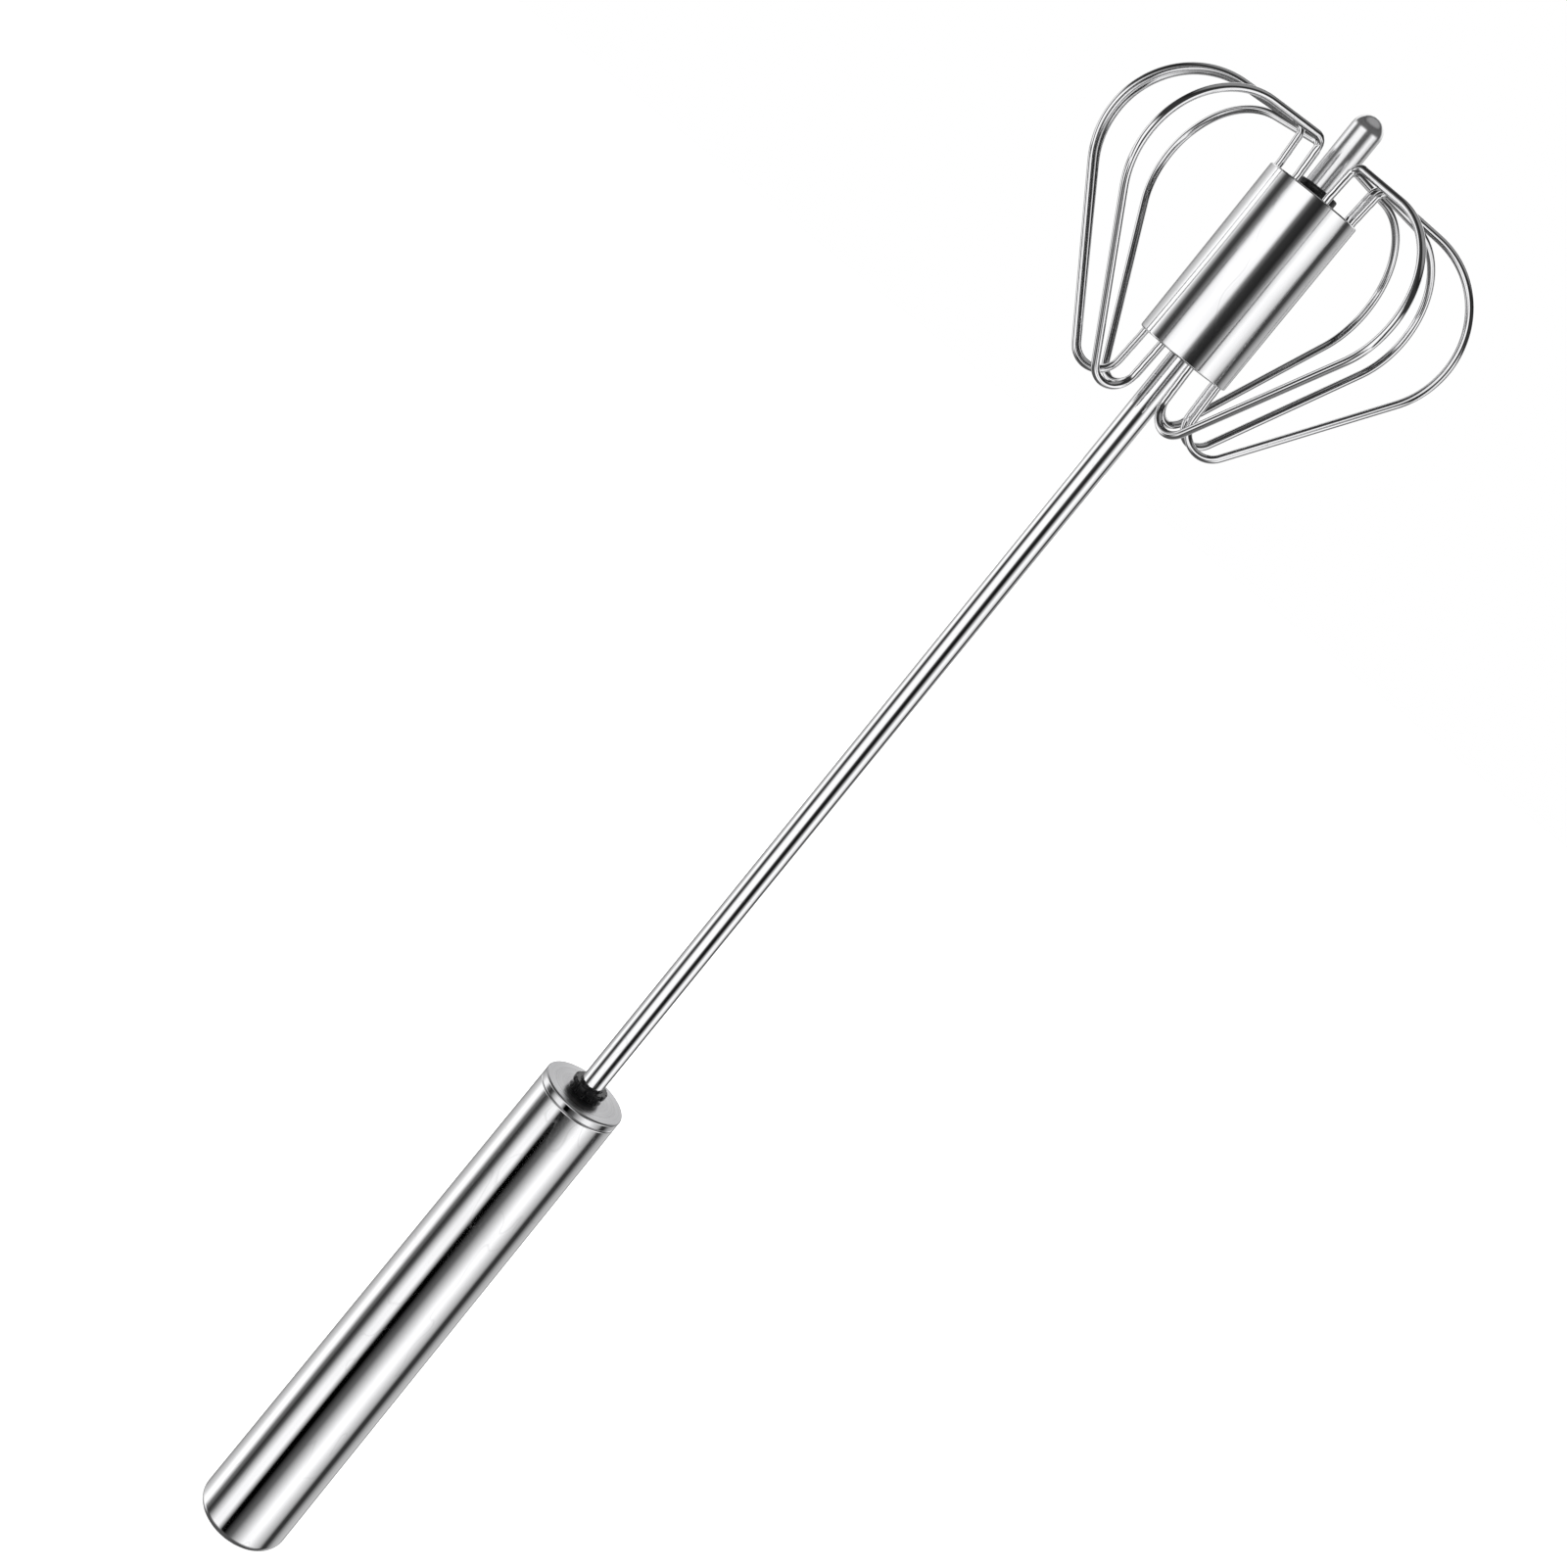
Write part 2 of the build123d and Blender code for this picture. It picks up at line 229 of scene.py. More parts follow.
def turned(name, corners, ring=False, columns=128, shape=None):
    """Surface of revolution: each outline point (radius, height) goes round Z.

    shape, if given, takes the angle and each outline point's radius and height, and
    returns the radius there instead of the outline's own.
    """
    outline = rounded(corners, closed=ring)
    angle = np.arange(columns) * TURN / columns
    radius = np.repeat(outline[:, :1], columns, 1)
    if shape is not None:
        radius = shape(angle[None], radius, outline[:, 1:])
    height = np.repeat(outline[:, 1:], columns, 1)
    rows = np.stack([radius * np.cos(angle), radius * np.sin(angle), height], 2)
    return skin(name, rows, ring)


def evenly(points, spacing):
    """The same line through points, at equal steps of its own length."""
    steps = np.linalg.norm(np.diff(points, axis=0), axis=1)
    travelled = np.concatenate([[0], np.cumsum(steps)])
    places = np.linspace(0, travelled[-1], int(travelled[-1] / spacing) + 1)
    return np.stack([np.interp(places, travelled, axis) for axis in points.T], 1), places


def wire(name, path, side, half_wide, half_deep, columns=20):
    """Elliptic section carried along a path, closed by a flat disc at each end.

    side is a unit vector across the path at each point; the section's other axis is
    the tangent crossed with it. A point is path + wide cos(u) side + deep sin(u) up.
    """
    tangent = np.gradient(path, axis=0)
    tangent /= np.linalg.norm(tangent, axis=1)[:, None]
    up = np.cross(tangent, side)
    up /= np.linalg.norm(up, axis=1)[:, None]
    angle = np.arange(columns) * TURN / columns
    wide = (half_wide * np.cos(angle))[..., None] * side[:, None]
    deep = (half_deep * np.sin(angle))[..., None] * up[:, None]
    rows = path[:, None] + wide + deep
    start = np.repeat(path[:1, None], columns, 1)
    end = np.repeat(path[-1:, None], columns, 1)
    return skin(name, np.concatenate([start, rows, end]))


def set_in(piece, body, slot, material, *nodes):
    """Put a finished piece on its body, in place of its CAD nodes."""
    piece.data.materials.append(material)
    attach(piece, body)
    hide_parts(*nodes)
    return piece


# === Shader node helpers =========================================================


def add_node(tree, kind, **settings):
    """New node with its settings."""
    node = tree.nodes.new(kind)
    for key, value in settings.items():
        setattr(node, key, value)
    return node


def join(tree, source, target):
    """Link two sockets."""
    tree.links.new(source, target)


def maths(tree, operation, first, second=None):
    """Math node over sockets or numbers; returns its output."""
    node = add_node(tree, "ShaderNodeMath", operation=operation)
    for socket, value in zip(node.inputs, (first, second)):
        if isinstance(value, bpy.types.NodeSocket):
            join(tree, value, socket)
        elif value is not None:
            socket.default_value = value
    return node.outputs[0]


def spread(tree, value, old, new):
    """Map Range node from old to new, clamped; returns its output."""
    node = add_node(tree, "ShaderNodeMapRange")
    join(tree, value, node.inputs["Value"])
    for name, number in zip(("From Min", "From Max", "To Min", "To Max"), (*old, *new)):
        node.inputs[name].default_value = number
    return node.outputs["Result"]


def rise(tree, value, start, end):
    """Mask that is 0 below start, 1 above end and even between them."""
    return spread(tree, value, (start, end), (0.0, 1.0))


def cloud(tree, vector, scale, detail=4.0, roughness=0.55):
    """Noise texture's value at a vector socket."""
    node = add_node(tree, "ShaderNodeTexNoise")
    join(tree, vector, node.inputs["Vector"])
    node.inputs["Scale"].default_value = scale
    node.inputs["Detail"].default_value = detail
    node.inputs["Roughness"].default_value = roughness
    return node.outputs["Fac"]


def stretched(tree, vector, factors):
    """The vector with each axis multiplied by its own factor."""
    node = add_node(tree, "ShaderNodeVectorMath", operation="MULTIPLY")
    join(tree, vector, node.inputs[0])
    node.inputs[1].default_value = factors
    return node.outputs["Vector"]


def new_group(name, inputs, outputs):
    """Shader node group with named sockets; returns it with its two end nodes."""
    tree = bpy.data.node_groups.new(name, "ShaderNodeTree")
    for label, kind in inputs:
        tree.interface.new_socket(label, in_out="INPUT", socket_type=kind)
    for label, kind in outputs:
        tree.interface.new_socket(label, in_out="OUTPUT", socket_type=kind)
    return tree, add_node(tree, "NodeGroupInput"), add_node(tree, "NodeGroupOutput")


def polish_marks():
    """Fine lines, hairline scratches and faint smudges of a buffed steel surface.

    Lines are noise squeezed along the grain. Scratches are the narrow crest of a
    slow noise. Smudges are a broad cloud. Roughness is base plus the three masks.
    """
    tree, given, result = new_group(
        "polish marks",
        [("Vector", "NodeSocketVector"), ("Base Roughness", "NodeSocketFloat")],
        [
            ("Roughness", "NodeSocketFloat"),
            ("Height", "NodeSocketFloat"),
            ("Shade", "NodeSocketFloat"),
        ],
    )
    vector = given.outputs["Vector"]
    line_scale, scratch_scale, smudge_scale = 420, 90, 38
    scratch_width, scratch_depth = 0.006, 0.6
    lines = cloud(tree, stretched(tree, vector, (1, 1, 14)), line_scale, 3)
    crest = cloud(tree, stretched(tree, vector, (1, 1, 0.35)), scratch_scale, 2)
    ridge = maths(tree, "ABSOLUTE", maths(tree, "SUBTRACT", crest, 0.5))
    scratch = spread(tree, ridge, (0.0, scratch_width), (1.0, 0.0))
    smudge = rise(tree, cloud(tree, vector, smudge_scale, 3), 0.42, 0.72)
    rough = given.outputs["Base Roughness"]
    for mask, share in ((lines, 0.035), (scratch, 0.05), (smudge, 0.045)):
        rough = maths(tree, "ADD", rough, maths(tree, "MULTIPLY", mask, share))
    height = maths(tree, "SUBTRACT", lines, maths(tree, "MULTIPLY", scratch, scratch_depth))
    shade = spread(tree, maths(tree, "ADD", smudge, scratch), (0.0, 2.0), (1.0, 0.9))
    join(tree, rough, result.inputs["Roughness"])
    join(tree, height, result.inputs["Height"])
    join(tree, shade, result.inputs["Shade"])
    return tree


def turned_rings():
    """Rings left by a lathe tool: noise that depends only on the distance from Z."""
    tree, given, result = new_group(
        "turned rings",
        [("Vector", "NodeSocketVector")],
        [("Height", "NodeSocketFloat"), ("Mask", "NodeSocketFloat")],
    )
    flat = stretched(tree, given.outputs["Vector"], (1, 1, 0))
    length = add_node(tree, "ShaderNodeVectorMath", operation="LENGTH")
    join(tree, flat, length.inputs[0])
    across = add_node(tree, "ShaderNodeCombineXYZ")
    join(tree, length.outputs["Value"], across.inputs["X"])
    fine_scale, broad_scale = 5200, 1500
    fine = cloud(tree, across.outputs["Vector"], fine_scale, 2)
    broad = cloud(tree, across.outputs["Vector"], broad_scale, 2)
    both = maths(tree, "ADD", fine, broad)
    join(tree, maths(tree, "MULTIPLY", both, 0.5), result.inputs["Height"])
    join(tree, rise(tree, both, 0.7, 1.3), result.inputs["Mask"])
    return tree


def moulded_grain():
    """Fine even grain of moulded plastic or rubber, with a few lighter rubbed spots."""
    tree, given, result = new_group(
        "moulded grain",
        [("Vector", "NodeSocketVector")],
        [("Height", "NodeSocketFloat"), ("Rubbed", "NodeSocketFloat")],
    )
    vector = given.outputs["Vector"]
    grain_scale, spot_scale = 6000, 700
    join(tree, cloud(tree, vector, grain_scale, 2), result.inputs["Height"])
    spots = cloud(tree, vector, spot_scale, 4)
    join(tree, rise(tree, spots, 0.52, 0.75), result.inputs["Rubbed"])
    return tree


POLISH = polish_marks()
RINGS = turned_rings()
GRAIN = moulded_grain()


def start_material(name, **constants):
    """Material with a Principled shader whose constant sockets are set; returns it,
    its node tree, the shader and a socket with object coordinates."""
    material = bpy.data.materials.new(name)
    material.use_nodes = True
    tree = material.node_tree
    shader = next(node for node in tree.nodes if node.type == "BSDF_PRINCIPLED")
    for label, value in constants.items():
        shader.inputs[label.replace("_", " ")].default_value = value
    place = add_node(tree, "ShaderNodeTexCoord")
    return material, tree, shader, place.outputs["Object"]


def use_group(tree, group, vector):
    """A node group placed in a material and fed with a vector."""
    node = add_node(tree, "ShaderNodeGroup")
    node.node_tree = group
    join(tree, vector, node.inputs["Vector"])
    return node


def bump(tree, shader, height, distance, strength=0.5, lean=0.0):
    """Bump node from a height to the shader's normal. lean tips the smooth normal up
    or down a little first, as on a tube that is not quite straight."""
    node = add_node(tree, "ShaderNodeBump")
    if lean:
        smooth = add_node(tree, "ShaderNodeNewGeometry")
        tipped = add_node(tree, "ShaderNodeVectorMath", operation="ADD")
        join(tree, smooth.outputs["Normal"], tipped.inputs[0])
        tipped.inputs[1].default_value = (0, 0, lean)
        unit = add_node(tree, "ShaderNodeVectorMath", operation="NORMALIZE")
        join(tree, tipped.outputs["Vector"], unit.inputs[0])
        join(tree, unit.outputs["Vector"], node.inputs["Normal"])
    node.inputs["Strength"].default_value = strength
    node.inputs["Distance"].default_value = distance
    join(tree, height, node.inputs["Height"])
    join(tree, node.outputs["Normal"], shader.inputs["Normal"])


def tint(tree, shader, mask, dark, light):
    """Base colour mixed from dark to light by a mask."""
    node = add_node(tree, "ShaderNodeMix", data_type="RGBA")
    join(tree, mask, node.inputs["Factor"])
    node.inputs[6].default_value = (*dark, 1)
    node.inputs[7].default_value = (*light, 1)
    join(tree, node.outputs[2], shader.inputs["Base Color"])


def buffed_steel(name, light, roughness, relief, lean=0.0, metallic=1.0):
    """Mirror-polished stainless steel with buffing lines and light handling marks. With
    metallic below one it has a satin haze."""
    material, tree, shader, vector = start_material(name, Metallic=metallic)
    marks = use_group(tree, POLISH, vector)
    marks.inputs["Base Roughness"].default_value = roughness
    handled = tuple(0.86 * channel for channel in light)
    tint(tree, shader, rise(tree, marks.outputs["Shade"], 0.9, 1.0), handled, light)
    join(tree, marks.outputs["Roughness"], shader.inputs["Roughness"])
    bump(tree, shader, marks.outputs["Height"], relief, 0.35, lean)
    return material


def lathe_steel(name, dark, light, roughness, satin_above=0.0, lean=0.0):
    """Satin stainless steel with the rings of a lathe tool. Below the height
    satin_above it is polished: the colour there is the light one, and the roughness
    falls to that of a mirror."""
    material, tree, shader, vector = start_material(name, Metallic=1.0, Anisotropic=0.5)
    rings = use_group(tree, RINGS, vector)
    parts = add_node(tree, "ShaderNodeSeparateXYZ")
    join(tree, vector, parts.inputs[0])
    fade, ring_roughness, mirror_roughness = 0.15 * MM, 0.12, 0.05
    height_range = (satin_above - fade, satin_above)
    polished = spread(tree, parts.outputs["Z"], height_range, (1.0, 0.0))
    mask = maths(tree, "MAXIMUM", rings.outputs["Mask"], polished)
    tint(tree, shader, mask, dark, light)
    rough_range = (roughness, roughness + ring_roughness)
    rough = spread(tree, rings.outputs["Mask"], (0, 1), rough_range)
    rough = maths(tree, "MAXIMUM", maths(tree, "SUBTRACT", rough, polished), mirror_roughness)
    join(tree, rough, shader.inputs["Roughness"])
    around = add_node(tree, "ShaderNodeTangent", direction_type="RADIAL", axis="Z")
    join(tree, around.outputs["Tangent"], shader.inputs["Tangent"])
    bump(tree, shader, rings.outputs["Height"], 0.02 * MM, 0.5, lean)
    return material


def moulded(name, dark, rubbed, roughness, specular=0.5):
    """Moulded plastic or rubber with a fine grain."""
    material, tree, shader, vector = start_material(name, Specular_IOR_Level=specular)
    grain = use_group(tree, GRAIN, vector)
    tint(tree, shader, grain.outputs["Rubbed"], dark, rubbed)
    rough = spread(tree, grain.outputs["Rubbed"], (0, 1), (roughness, roughness - 0.1))
    join(tree, rough, shader.inputs["Roughness"])
    bump(tree, shader, grain.outputs["Height"], 0.03 * MM, 0.4)
    return material


# Heights of the marks left on buffed tube, drawn wire, and rolled strip or spring wire.
BUFFED, DRAWN, ROLLED = 0.004 * MM, 0.008 * MM, 0.010 * MM
HANDLE_LEAN, SHAFT_LEAN = -0.035, 0.022

tube_steel = buffed_steel("tube steel", (0.86, 0.86, 0.87), 0.05, BUFFED, HANDLE_LEAN)
shaft_steel = buffed_steel("shaft steel", (0.84, 0.84, 0.85), 0.04, BUFFED, SHAFT_LEAN)
foot_steel = buffed_steel("foot steel", (0.80, 0.80, 0.81), 0.12, BUFFED, metallic=0.90)
ferrule_steel = buffed_steel("ferrule steel", (0.85, 0.85, 0.86), 0.07, BUFFED)
wire_steel = buffed_steel("wire steel", (0.82, 0.82, 0.83), 0.05, DRAWN)
strip_steel = buffed_steel("strip steel", (0.60, 0.60, 0.61), 0.22, ROLLED)
spring_steel = buffed_steel("spring steel", (0.52, 0.52, 0.53), 0.20, ROLLED)
pin_steel = lathe_steel("pin steel", (0.42, 0.42, 0.43), (0.58, 0.58, 0.59), 0.28)
cap_steel = lathe_steel(
    "cap steel",
    (0.40, 0.40, 0.41),
    (0.72, 0.72, 0.73),
    0.24,
    satin_above=MOUTH - ROUND_EDGE,
    lean=HANDLE_LEAN,
)
black_plastic = moulded("black plastic", (0.006, 0.006, 0.0065), (0.02, 0.02, 0.021), 0.28)
stop_rubber = moulded("stop rubber", (0.016, 0.016, 0.016), (0.035, 0.035, 0.035), 0.75, 0.3)
nut_plastic = moulded("nut plastic", (0.74, 0.74, 0.70), (0.82, 0.82, 0.79), 0.45)
anchor_plastic = moulded("anchor plastic", (0.34, 0.35, 0.35), (0.42, 0.43, 0.43), 0.5)


# === Handle ======================================================================


def handle_shell():
    """Tapered tube: one closed outline round the wall, from the outside of the closed
    end up to the mouth and back down the even bore."""
    lip, inner_rounding = 0.32 * MM, 0.5 * MM
    corners = [
        (0, 0, 0),
        (PALM_RADIUS, 0, END_ROUNDING),
        (MOUTH_RADIUS, TUBE_TOP, lip),
        (HANDLE_BORE, TUBE_TOP, lip),
        (HANDLE_BORE, END_WALL, inner_rounding),
        (0, END_WALL, 0),
    ]
    piece = turned("handle_shell", corners, columns=160)
    return set_in(piece, "handle", "polished_steel", tube_steel, "handle_tube")


def mouth_cover():
    """Cap with a bright rim, a flat face and a light chamfer round the bush."""
    rim, chamfer, skirt_wall = 0.42 * MM, 0.5 * MM, 0.8 * MM
    skirt_base, skirt_bore = low("mouth_cap"), HANDLE_BORE - skirt_wall
    corners = [
        (BUSH_NECK, TUBE_TOP, BROKEN_EDGE),
        (BUSH_NECK, MOUTH - chamfer, CRISP_EDGE),
        (BUSH_NECK + chamfer, MOUTH, 0.08 * MM),
        (MOUTH_RADIUS, MOUTH, rim),
        (MOUTH_RADIUS, TUBE_TOP, ROUND_EDGE),
        (HANDLE_BORE, TUBE_TOP, CRISP_EDGE),
        (HANDLE_BORE, skirt_base, EASED_EDGE),
        (skirt_bore, skirt_base, EASED_EDGE),
        (skirt_bore, TUBE_TOP, SOFT_EDGE),
    ]
    piece = turned("mouth_cover", corners, ring=True, columns=160)
    return set_in(piece, "handle", "satin_steel", cap_steel, "mouth_cap")


def fluted_bush():
    """Bush with a fluted neck and collar outside the cap: the radius there dips by a
    high power of a cosine wave with one wave to a flute."""
    base, top = low("shaft_bush"), high("shaft_bush")
    collar_base = MOUTH + COLLAR_LIFT
    flute_base = MOUTH + 0.02 * MM
    corners = [
        (BUSH_BORE, base, BROKEN_EDGE),
        (BUSH_BORE, top, EASED_EDGE),
        (BUSH_COLLAR, top, ROUND_EDGE),
        (BUSH_COLLAR, collar_base, SOFT_EDGE),
        (BUSH_NECK, collar_base, BROKEN_EDGE),
        (BUSH_NECK, flute_base, 0),
        (BUSH_NECK, MOUTH, 0),
        (BUSH_NECK, base, SOFT_EDGE),
    ]

    def flutes(angle, radius, height):
        wave = np.clip(np.cos(BUSH_FLUTES * angle), 0, 1) ** 6
        outside = (height > 0.5 * (MOUTH + flute_base)) & (radius > BUSH_NECK - BROKEN_EDGE)
        return radius - FLUTE_RADIUS * wave * outside

    piece = turned("fluted_bush", corners, ring=True, columns=384, shape=flutes)
    return set_in(piece, "handle", "black_plastic", black_plastic, "shaft_bush")


def coil_spring():
    """Helix with closed ends: the height rises by one wire for each of the dead first and last
    turns, and evenly between them."""
    base, top = high("spring_seat"), low("thrust_washer")
    steps, dead = 48, 1.0
    turns = np.linspace(0, SPRING_TURNS, SPRING_TURNS * steps + 1)
    share = np.clip((turns - dead) / (SPRING_TURNS - 2 * dead), 0, 1)
    dead_turns = np.clip(turns, 0, dead) + np.clip(turns - SPRING_TURNS + dead, 0, dead)
    free = top - base - 2 * SPRING_WIRE * (1 + 2 * dead)
    height = base + SPRING_WIRE + 2 * SPRING_WIRE * dead_turns + free * share
    angle = TURN * turns
    out = np.stack([np.cos(angle), np.sin(angle), 0 * angle], 1)
    path = SPRING_RADIUS * out + np.stack([0 * angle, 0 * angle, height], 1)
    piece = wire("coil_spring", path, out, SPRING_WIRE, SPRING_WIRE, columns=12)
    set_in(piece, "handle", "spring_steel", spring_steel, "return_spring")
    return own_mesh(piece)


def strip_blade():
    """Flat strip: a rounded rectangle, a superellipse of power 8, that turns with
    height at one turn per lead above the plug."""
    base, top = low("twisted_strip"), high("twisted_strip")
    plug_top = high("strip_anchor")
    columns, levels, power = 32, 240, 8
    height = np.linspace(base, top, levels)
    twist = TURN * np.clip(height - plug_top, 0, None) / STRIP_LEAD
    angle = np.arange(columns) * TURN / columns
    across = np.sign(np.cos(angle)) * np.abs(np.cos(angle)) ** (2 / power)
    along = np.sign(np.sin(angle)) * np.abs(np.sin(angle)) ** (2 / power)
    x = 0.5 * STRIP_THICKNESS * across
    y = 0.5 * STRIP_WIDTH * along
    turned_x = x * np.cos(twist)[:, None] - y * np.sin(twist)[:, None]
    turned_y = x * np.sin(twist)[:, None] + y * np.cos(twist)[:, None]
    rows = np.stack([turned_x, turned_y, np.repeat(height[:, None], columns, 1)], 2)
    start, end = rows[:1].copy(), rows[-1:].copy()
    start[..., :2] = 0
    end[..., :2] = 0
    piece = skin("strip_blade", np.concatenate([start, rows, end]))
    return set_in(piece, "handle", "strip_steel", strip_steel, "twisted_strip")


# === Whisk =======================================================================


def bright_shaft():
    """Plain tube with lightly rounded ends."""
    corners = [
        (SHAFT_RADIUS, SHAFT_BASE, BROKEN_EDGE),
        (SHAFT_RADIUS, SHAFT_TOP, BROKEN_EDGE),
        (SHAFT_BORE, SHAFT_TOP, BROKEN_EDGE),
        (SHAFT_BORE, SHAFT_BASE, BROKEN_EDGE),
    ]
    piece = turned("bright_shaft", corners, ring=True, columns=96)
    return set_in(piece, "whisk", "shaft_steel", shaft_steel, "shaft_tube")


def ferrule_sleeve():
    """Polished sleeve with softened ends."""
    inner_edge = 0.12 * MM
    corners = [
        (FERRULE_RADIUS, FERRULE_BASE, ROUND_EDGE),
        (FERRULE_RADIUS, FERRULE_TOP, ROUND_EDGE),
        (FERRULE_BORE, FERRULE_TOP, inner_edge),
        (FERRULE_BORE, FERRULE_BASE, inner_edge),
    ]
    piece = turned("ferrule_sleeve", corners, ring=True, columns=160)
    return set_in(piece, "whisk", "polished_steel", ferrule_steel, "ferrule")


def grooved_core():
    """Moulded core: its outer radius falls to the near wall of a round groove beside
    each leg, leg cos(d) - sqrt(groove^2 - (leg sin(d))^2) at an angle d from it."""
    boss_rounding = 0.35 * MM
    corners = [
        (SHAFT_RADIUS, CORE_BASE, BROKEN_EDGE),
        (SHAFT_RADIUS, SHAFT_TOP, 0),
        (SHAFT_BORE, SHAFT_TOP, 0),
        (SHAFT_BORE, BOSS_TOP, BROKEN_EDGE),
        (CORE_BOSS, BOSS_TOP, boss_rounding),
        (CORE_BOSS, PLATE_BASE, 0),
        (FERRULE_BORE, PLATE_BASE, BROKEN_EDGE),
        (FERRULE_BORE, CORE_BASE, BROKEN_EDGE),
    ]

    def grooves(angle, radius, _height):
        nearest = np.min(
            np.abs((angle[..., None] - LEG_AZIMUTHS + pi) % TURN - pi), axis=-1
        )
        inside = GROOVE_RADIUS**2 - (LEG_RADIUS * np.sin(nearest)) ** 2
        wall = LEG_RADIUS * np.cos(nearest) - np.sqrt(np.clip(inside, 0, None))
        beside_leg = (inside > 0) & (nearest < 0.5 * pi)
        outside = radius > 0.5 * (CORE_BOSS + FERRULE_BORE)
        return np.where(outside & beside_leg, np.minimum(radius, wall), radius)

    piece = turned("grooved_core", corners, ring=True, columns=900, shape=grooves)
    return set_in(piece, "whisk", "black_plastic", black_plastic, "hub_core")


def end_disc():
    """Turned disc inside the ring of legs."""
    rim = outer_radius("hub_end_plate")
    corners = [
        (CORE_BOSS, PLATE_BASE, CRISP_EDGE),
        (CORE_BOSS, FERRULE_TOP, 0.08 * MM),
        (rim, FERRULE_TOP, EASED_EDGE),
        (rim, PLATE_BASE, CRISP_EDGE),
    ]
    piece = turned("end_disc", corners, ring=True, columns=128)
    return set_in(piece, "whisk", "satin_steel", cap_steel, "hub_end_plate")


def round_foot():
    """Pin with a spigot below and a half-round nose: the nose is one corner rounded
    by almost the pin's whole radius."""
    base = low("foot_pin")
    corners = [
        (0, base, 0),
        (SHAFT_BORE, base, SOFT_EDGE),
        (SHAFT_BORE, BOSS_TOP, 0),
        (FOOT_RADIUS, BOSS_TOP, BROKEN_EDGE),
        (FOOT_RADIUS, TIP, 0.96 * FOOT_RADIUS),
        (0, TIP, 0),
    ]
    piece = turned("round_foot", corners, columns=96)
    return set_in(piece, "whisk", "shaft_steel", foot_steel, "foot_pin")


def loop_outline():
    """One loop in its own flat plane as (distance from the axis, height): up from the
    core with a slight lean, out along the spoke, round the shoulder, down the diagonal
    and back by the hairpin, which lies where the diagonal meets the leaning leg."""
    half_corner = 0.5 * (0.5 * pi - DIAGONAL_ANGLE)
    reach = HEAD_RADIUS - WIRE_RADIUS - SHOULDER_RADIUS + SHOULDER_RADIUS / np.tan(half_corner)
    spoke = FERRULE_TOP + SPOKE_END_RISE
    foot_out = LEG_RADIUS + np.tan(FOOT_SIDE_LEAN) * (LOOP_RISE - LEG_STRAIGHT)
    leg_end = FERRULE_BASE - LEG_STRAIGHT
    slope, lean = np.tan(DIAGONAL_ANGLE), np.tan(SHAFT_SIDE_LEAN)
    hairpin = (LEG_RADIUS + lean * leg_end - reach + slope * spoke) / (slope + lean)
    middle = 0.5 * (FERRULE_BASE + FERRULE_TOP)
    gap = 0.5 * MM
    corners = [
        (LEG_RADIUS, middle + gap, 0),
        (LEG_RADIUS, FERRULE_TOP + LEG_STRAIGHT, FOOT_LEG_BEND),
        (foot_out, FERRULE_TOP + LOOP_RISE, SPOKE_BEND),
        (reach, spoke, SHOULDER_RADIUS),
        (LEG_RADIUS + lean * (leg_end - hairpin), hairpin, HAIRPIN_RADIUS),
        (LEG_RADIUS, leg_end, SHAFT_LEG_BEND),
        (LEG_RADIUS, middle - gap, 0),
    ]
    return rounded(corners, steps=48)


def whisk_loop(number, leg, direction):
    """Round wire along the loop's outline, in an upright plane through its legs. Beside
    the ferrule the wire is pressed a little flat, and small dents follow a sum of sines
    of the length."""
    outline, travelled = evenly(loop_outline(), spacing=0.4 * MM)
    out = np.array((cos(direction), sin(direction), 0))
    root = LEG_RADIUS * (np.array((cos(leg), sin(leg), 0)) - out)
    path = root + outline[:, :1] * out + outline[:, 1:] * np.array((0, 0, 1))
    side = np.repeat(np.array([[-sin(direction), cos(direction), 0]]), len(path), 0)
    reach, fade = 0.9 * MM, 1.2 * MM
    widened, flattened, dent = 0.10, 0.08, 0.012 * MM
    on_leg = 1 - np.clip((outline[:, 0] - LEG_RADIUS - reach) / fade, 0, 1)
    pressed = on_leg * on_leg * (3 - 2 * on_leg)
    dents = np.sin(2.1 * travelled / MM + number) + np.sin(3.7 * travelled / MM + 2 * number)
    ripple = dent * pressed * dents
    wide = WIRE_RADIUS * (1 + widened * pressed) + ripple
    deep = WIRE_RADIUS * (1 - flattened * pressed) - ripple
    piece = wire(f"loop_wire_{number}", path, side, wide[:, None], deep[:, None])
    return set_in(piece, "whisk", "wire_steel", wire_steel, f"whisk_loop_{number}")


handle_shell()
mouth_cover()
fluted_bush()
coil_spring()
strip_blade()
bright_shaft()
ferrule_sleeve()
grooved_core()
end_disc()
round_foot()
for number, (leg, direction) in enumerate(zip(LEG_AZIMUTHS, LOOP_DIRECTIONS), start=1):
    whisk_loop(number, leg, direction)

# CAD nodes that stay as they are take a finish of their own.
KEPT_NODES = {
    "bush_retaining_ring": spring_steel,
    "strip_anchor": anchor_plastic,
    "anchor_pin": pin_steel,
    "spring_seat": pin_steel,
    "thrust_washer": pin_steel,
    "drive_nut": nut_plastic,
    "nut_screws": pin_steel,
    "stop_ring": stop_rubber,
    "hub_pin": pin_steel,
}
for node, material in KEPT_NODES.items():
    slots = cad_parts[node].data.materials
    slots.clear()
    slots.append(material)


# === Studio ======================================================================


